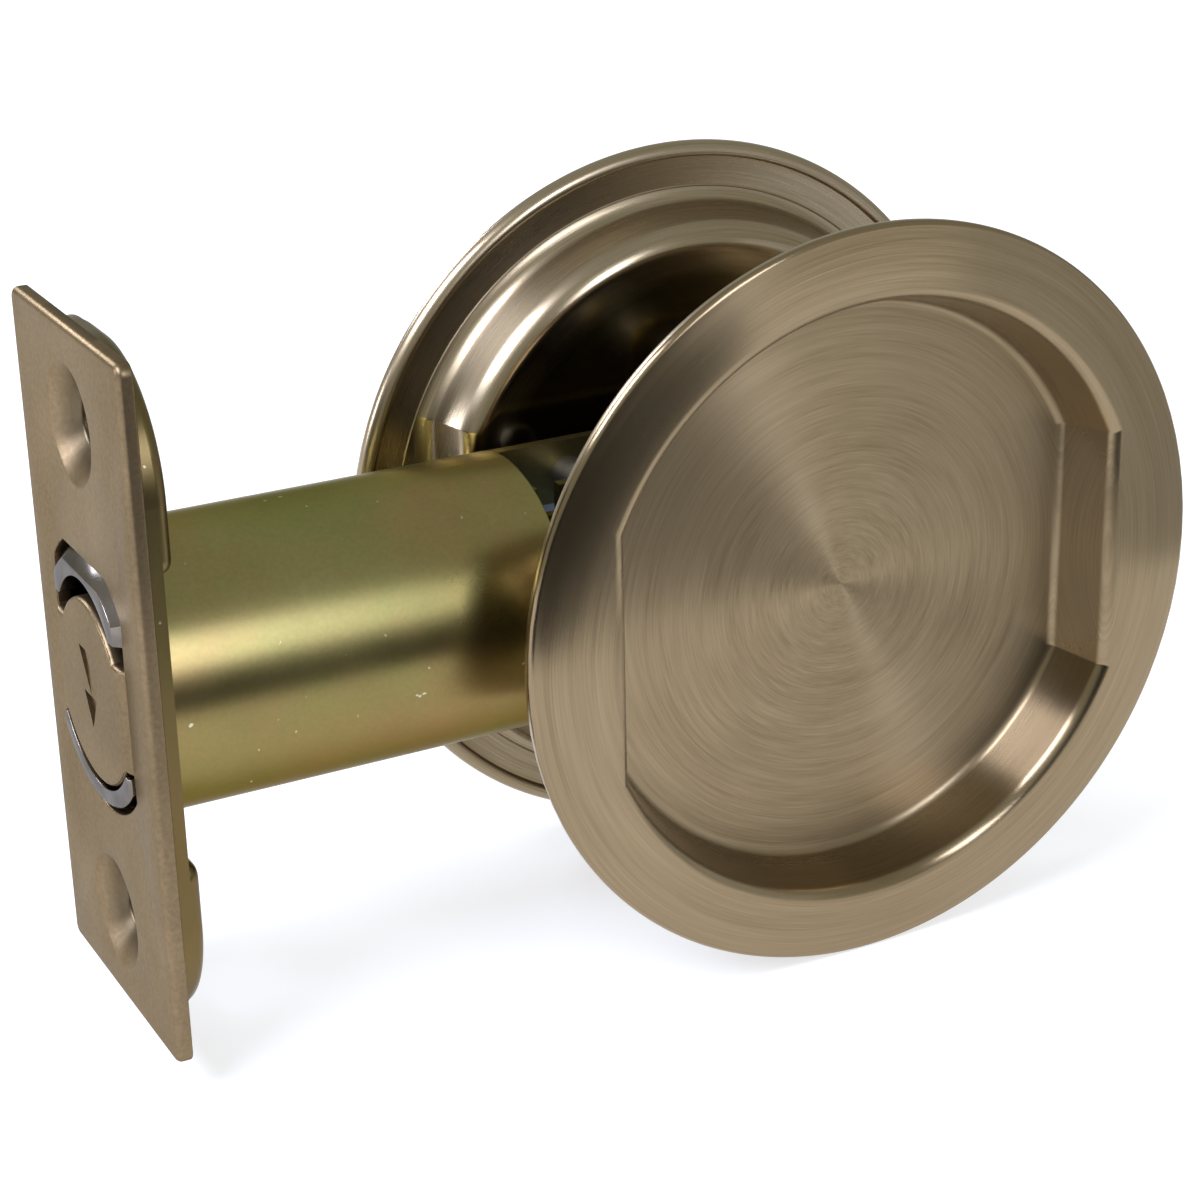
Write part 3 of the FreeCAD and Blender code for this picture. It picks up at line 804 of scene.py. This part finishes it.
@dataclass
class ScrewSeats:
    """The two dimpled seats of the rear cup, under the heads of its screws."""

    height: float = 12.5
    floor: float = 10.2
    head_depth: float = 1.8
    head_radius: float = 3.96
    neck_radius: float = 2.01
    hole_radius: float = 2.3
    dimple_end: float = 7.86
    dimple_small: float = 3.02
    dimple_large: float = 4.8
    dimple_inset: float = 0.3
    hole_overrun: tuple[float, float] = (1.0, 0.4)
    cut_overrun: float = 0.2
    segments: int = 96

    def press(self, cup: bpy.types.Object) -> None:
        """Raise the dimples on the cup and sink the seats into them.

        Args:
            cup: The rear cup.
        """
        for height in (-self.height, self.height):
            self.cut(cup, "UNION", height, (self.dimple_small, self.dimple_large),
                     (self.dimple_end, self.floor - self.dimple_inset))
        for height in (-self.height, self.height):
            self.cut(cup, "DIFFERENCE", height, (self.neck_radius, self.head_radius),
                     (self.floor - self.head_depth, self.floor))
            self.cut(cup, "DIFFERENCE", height, (self.hole_radius, self.hole_radius),
                     (self.dimple_end - self.hole_overrun[0],
                      self.floor - self.head_depth + self.hole_overrun[1]))
        cup.data.set_sharp_from_angle(angle=math.radians(CREASE))

    def cut(self, cup: bpy.types.Object, operation: str, height: float, radii: tuple[float, float],
            reach: tuple[float, float]) -> None:
        """Join a cone to the cup or cut it out.

        Args:
            cup: The cup.
            operation: UNION or DIFFERENCE.
            height: The cone's height on the cup.
            radii: Its radii at its two ends.
            reach: Where its ends lie across the door.
        """
        shape = bmesh.new()
        slope = (radii[1] - radii[0]) / (reach[1] - reach[0])
        over = self.cut_overrun if operation == "DIFFERENCE" else 0.0
        bmesh.ops.create_cone(shape, cap_ends=True, segments=self.segments, radius1=radii[0] * MM,
                              radius2=(radii[1] + slope * over) * MM, depth=(reach[1] + over - reach[0]) * MM)
        bmesh.ops.rotate(shape, verts=shape.verts, cent=(0, 0, 0), matrix=Matrix.Rotation(-math.pi / 2, 3, "X"))
        bmesh.ops.translate(shape, verts=shape.verts,
                            vec=(0, (reach[0] + reach[1] + over) / 2 * MM, height * MM))
        tool = finish_mesh("seat_tool", shape)
        change = cup.modifiers.new("seat", "BOOLEAN")
        change.operation = operation
        change.solver = "EXACT"
        change.object = tool
        result = bpy.data.meshes.new_from_object(cup.evaluated_get(bpy.context.evaluated_depsgraph_get()))
        cup.modifiers.clear()
        former = cup.data
        cup.data = result
        bpy.data.meshes.remove(former)
        bpy.data.objects.remove(tool)


@dataclass
class CupPair:
    """The two cups with the posts and screws that draw them together."""

    front: FlushCup = field(default_factory=lambda: FlushCup("front_cup_shell", "front_cup", -17.45))
    rear: FlushCup = field(default_factory=lambda: FlushCup("rear_cup_shell", "rear_cup", 14.0, True))
    seats: ScrewSeats = field(default_factory=ScrewSeats)
    fasteners: tuple[str, ...] = ("upper_post", "lower_post", "upper_cup_screw", "lower_cup_screw")

    def fit(self, nodes: dict[str, bpy.types.Object], finishes: Finishes) -> None:
        """Build the cups and dress their fasteners.

        Args:
            nodes: The frame's nodes.
            finishes: The set's materials.
        """
        self.front.fit(finishes)
        self.seats.press(self.rear.fit(finishes))
        for name in self.fasteners:
            finishes.dress(nodes[name], Metal.STEEL)


@dataclass
class SoftPiece:
    """A node's own shape with its sharp edges rounded a little."""

    name: str
    node: str
    body: str
    slot: str
    metal: Metal
    reach: float
    kept_radius: float = 0.0
    merge_reach: float = 0.002 * MM
    flat_angle: float = 0.5
    steps: int = 3

    def fit(self, nodes: dict[str, bpy.types.Object], finishes: Finishes) -> bpy.types.Object:
        """Round a merged copy of the node, dress it and set it in the node's place.

        Args:
            nodes: The frame's nodes.
            finishes: The set's materials.

        Returns:
            The piece's object.
        """
        shape = bmesh.new()
        shape.from_mesh(nodes[self.node].data)
        bmesh.ops.remove_doubles(shape, verts=shape.verts, dist=self.merge_reach)
        bmesh.ops.dissolve_limit(shape, angle_limit=math.radians(self.flat_angle), verts=shape.verts,
                                 edges=shape.edges)
        sharp = []
        for edge in shape.edges:
            middle = (edge.verts[0].co + edge.verts[1].co) / 2
            if (len(edge.link_faces) == 2 and edge.calc_face_angle(0) > math.radians(SHARP)
                    and math.hypot(middle.y, middle.z) > self.kept_radius * MM):
                sharp.append(edge)
        bmesh.ops.bevel(shape, geom=sharp, offset=self.reach * MM, offset_type="OFFSET",
                        segments=self.steps, profile=0.5, affect="EDGES", clamp_overlap=True, material=-1)
        LOG.info("%s: %d edges rounded", self.name, len(sharp))
        piece = finish_mesh(self.name, shape)
        for polygon in piece.data.polygons:
            if math.hypot(polygon.center.y, polygon.center.z) < self.kept_radius * MM:
                polygon.use_smooth = False
        finishes.dress(piece, self.metal)
        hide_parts(self.node)
        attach(piece, self.body)
        return piece


@dataclass
class EdgeUnit:
    """The faceplate, its backing plate, the tube and the edge pull with what moves it."""

    soft: tuple[SoftPiece, ...] = (
        SoftPiece("faceplate_soft", "faceplate", "housing", "satin_nickel", Metal.PLATE, 0.3, 5.4),
        SoftPiece("edge_pull_soft", "edge_pull", "pull", "bright_chrome", Metal.CHROME, 0.3),
    )
    wear: dict[str, Metal] = field(default_factory=lambda: {
        "backing_plate": Metal.ZINC_SHEET, "latch_tube": Metal.ZINC, "pull_stem": Metal.STEEL,
        "stem_clip": Metal.STEEL, "return_spring": Metal.STEEL, "guide_disc": Metal.STEEL})

    def fit(self, nodes: dict[str, bpy.types.Object], finishes: Finishes) -> None:
        """Round the faceplate and the edge pull, and dress the other nodes.

        Args:
            nodes: The frame's nodes.
            finishes: The set's materials.
        """
        for piece in self.soft:
            piece.fit(nodes, finishes)
        finishes.dress_all(nodes, self.wear)


@dataclass
class CatchCase:
    """The two case plates between the cups, their rivets and the push catch."""

    wear: dict[str, Metal] = field(default_factory=lambda: {
        "front_case_plate": Metal.ZINC, "rear_case_plate": Metal.ZINC, "push_catch": Metal.PLASTIC,
        "case_rivet_1": Metal.STEEL, "case_rivet_2": Metal.STEEL, "case_rivet_3": Metal.STEEL,
        "case_rivet_4": Metal.STEEL})

    def fit(self, nodes: dict[str, bpy.types.Object], finishes: Finishes) -> None:
        """Dress the nodes."""
        finishes.dress_all(nodes, self.wear)


@dataclass(frozen=True)
class Lamp:
    """A soft rectangular light that looks at the set."""

    name: str
    azimuth: float
    elevation: float
    distance: float
    width: float
    height: float
    power: float
    colour: Colour = (0.9, 0.96, 1.22)


@dataclass(frozen=True)
class Card:
    """A studio card, dark or grey, that only shows in the metal."""

    name: str
    left: tuple[float, float]
    right: tuple[float, float]
    top: float
    lean: tuple[float, float] = (0.0, 0.0)
    shade: Colour = (0.02, 0.02, 0.018)


def direction(azimuth: float, elevation: float) -> Vector:
    """The way from the set towards a lamp or the camera.

    Args:
        azimuth: Degrees round the set, 0 in front of the front cup.
        elevation: Degrees above the floor.

    Returns:
        The unit vector.
    """
    turn = math.radians(azimuth)
    rise = math.radians(elevation)
    return Vector((math.sin(turn) * math.cos(rise), -math.cos(turn) * math.cos(rise), math.sin(rise)))


def matt_material(name: str, shade: Colour) -> tuple[bpy.types.Material, bpy.types.Node]:
    """Make a material with no shine.

    Args:
        name: Its name.
        shade: Its colour.

    Returns:
        The material and its shader.
    """
    material = bpy.data.materials.new(name)
    material.use_nodes = True
    shader = material.node_tree.nodes["Principled BSDF"]
    shader.inputs["Base Color"].default_value = (*shade, 1)
    shader.inputs["Roughness"].default_value = 1.0
    shader.inputs["Specular IOR Level"].default_value = 0.0
    return material, shader


@dataclass
class Studio:
    """The floor, the cards, the lights, the world and the camera."""

    floor_height: float
    floor_half_size: float = 30.0
    floor_shade: Colour = (0.5, 0.5, 0.5)
    floor_glow: float = 0.62
    card_gap: float = 0.1 * MM
    lens: float = 82.796
    sensor_width: float = 36.0
    clip_start: float = 0.01
    centre: tuple[float, float, float] = (-116.788 * MM, -193.271 * MM, 85.877 * MM)
    azimuth: float = -27.634
    elevation: float = 22.156
    roll: float = -1.296
    world_level: float = 0.5
    world_colour: Colour = (0.97, 1.0, 0.93)
    lamps: tuple[Lamp, ...] = (
        Lamp("key", 9, 27, 0.8, 0.17, 0.36, 1.7),
        Lamp("top", -78, 48, 0.9, 0.6, 0.4, 9.0),
        Lamp("back", -160, 27, 0.8, 0.3, 0.18, 2.2),
        Lamp("side", -112, 14, 0.8, 0.12, 0.12, 1.3),
    )
    cards: tuple[Card, ...] = (
        Card("front_card", (-0.13, -0.1), (0.05, -0.1), 0.02, (0.0, -0.07)),
        Card("right_card", (0.055, -0.1), (0.15, 0.0), 0.07, (0.06, -0.04), (0.45, 0.45, 0.41)),
    )

    def build(self) -> None:
        """Set the stage, the lights, the world and the camera."""
        self.make_floor()
        self.make_world()
        for card in self.cards:
            self.make_card(card)
        for lamp in self.lamps:
            self.make_lamp(lamp)
        self.make_camera()

    def make_floor(self) -> None:
        """A plain white floor that shows its colour to the camera and to the metal, and keeps the shadow."""
        shape = bmesh.new()
        bmesh.ops.create_grid(shape, x_segments=1, y_segments=1, size=self.floor_half_size)
        bmesh.ops.translate(shape, verts=shape.verts, vec=(0, 0, self.floor_height))
        floor = finish_mesh("floor", shape)
        material, shader = matt_material("pale_floor", self.floor_shade)
        sheet = NodeSheet(material.node_tree)
        shader.inputs["Emission Color"].default_value = (1, 1, 1, 1)
        path = sheet.add("ShaderNodeLightPath")
        seen = sheet.math("MAXIMUM", path.outputs["Is Camera Ray"],
                          sheet.math("MAXIMUM", path.outputs["Is Glossy Ray"], path.outputs["Is Transmission Ray"]))
        sheet.join(sheet.math("MULTIPLY", seen, self.floor_glow), shader.inputs["Emission Strength"])
        floor.data.materials.append(material)
        floor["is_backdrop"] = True

    def make_card(self, card: Card) -> None:
        """Stand a card on the floor, out of the camera's sight.

        Args:
            card: The card.
        """
        shape = bmesh.new()
        low = self.floor_height + self.card_gap
        start, end = (shape.verts.new((*spot, low)) for spot in (card.left, card.right))
        edge = shape.edges.new((start, end))
        raised = bmesh.ops.extrude_edge_only(shape, edges=[edge])["geom"]
        bmesh.ops.translate(shape, verts=[item for item in raised if isinstance(item, bmesh.types.BMVert)],
                            vec=(*card.lean, card.top - low))
        piece = finish_mesh(card.name, shape)
        material, _ = matt_material(card.name, card.shade)
        piece.data.materials.append(material)
        piece.visible_camera = False
        piece.visible_diffuse = False
        piece.visible_shadow = False
        piece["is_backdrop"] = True

    def make_world(self) -> None:
        """An even pale studio."""
        world = bpy.data.worlds.new("studio")
        bpy.context.scene.world = world
        world.use_nodes = True
        background = world.node_tree.nodes["Background"]
        background.inputs["Color"].default_value = (*self.world_colour, 1)
        background.inputs["Strength"].default_value = self.world_level

    @staticmethod
    def make_lamp(lamp: Lamp) -> None:
        """Hang a lamp that looks at the set.

        Args:
            lamp: The lamp.
        """
        data = bpy.data.lights.new(lamp.name, "AREA")
        data.shape = "RECTANGLE"
        data.size = lamp.width
        data.size_y = lamp.height
        data.energy = lamp.power
        data.color = lamp.colour
        place = direction(lamp.azimuth, lamp.elevation) * lamp.distance
        piece = bpy.data.objects.new(lamp.name, data)
        piece.location = place
        piece.rotation_euler = (-place).to_track_quat("-Z", "Y").to_euler()
        bpy.context.collection.objects.link(piece)

    def make_camera(self) -> None:
        """The camera at the photograph's angle."""
        azimuth = math.radians(self.azimuth)
        roll = math.radians(self.roll)
        back = direction(self.azimuth, self.elevation)
        level = Vector((math.cos(azimuth), math.sin(azimuth), 0))
        upright = back.cross(level)
        right = level * math.cos(roll) + upright * math.sin(roll)
        up = upright * math.cos(roll) - level * math.sin(roll)
        data = bpy.data.cameras.new("camera")
        data.lens = self.lens
        data.sensor_width = self.sensor_width
        data.clip_start = self.clip_start
        camera = bpy.data.objects.new("camera", data)
        turn = Matrix((right, up, back)).transposed().to_4x4()
        camera.matrix_world = Matrix.Translation(self.centre) @ turn
        bpy.context.collection.objects.link(camera)
        bpy.context.scene.camera = camera


def main() -> None:
    """Load the frame, dress it and set the studio."""
    logging.basicConfig(level=logging.INFO, format="%(name)s: %(message)s")
    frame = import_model()
    cad_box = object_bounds()
    finishes = Finishes(SharedGroups())
    for assembly in (CupPair(), EdgeUnit(), CatchCase()):
        assembly.fit(frame["nodes"], finishes)
        LOG.info("%s is done", type(assembly).__name__)
    Studio(floor_height=cad_box[0][2]).build()
    bpy.context.scene.view_settings.view_transform = "Standard"


if __name__ == "__main__":
    main()
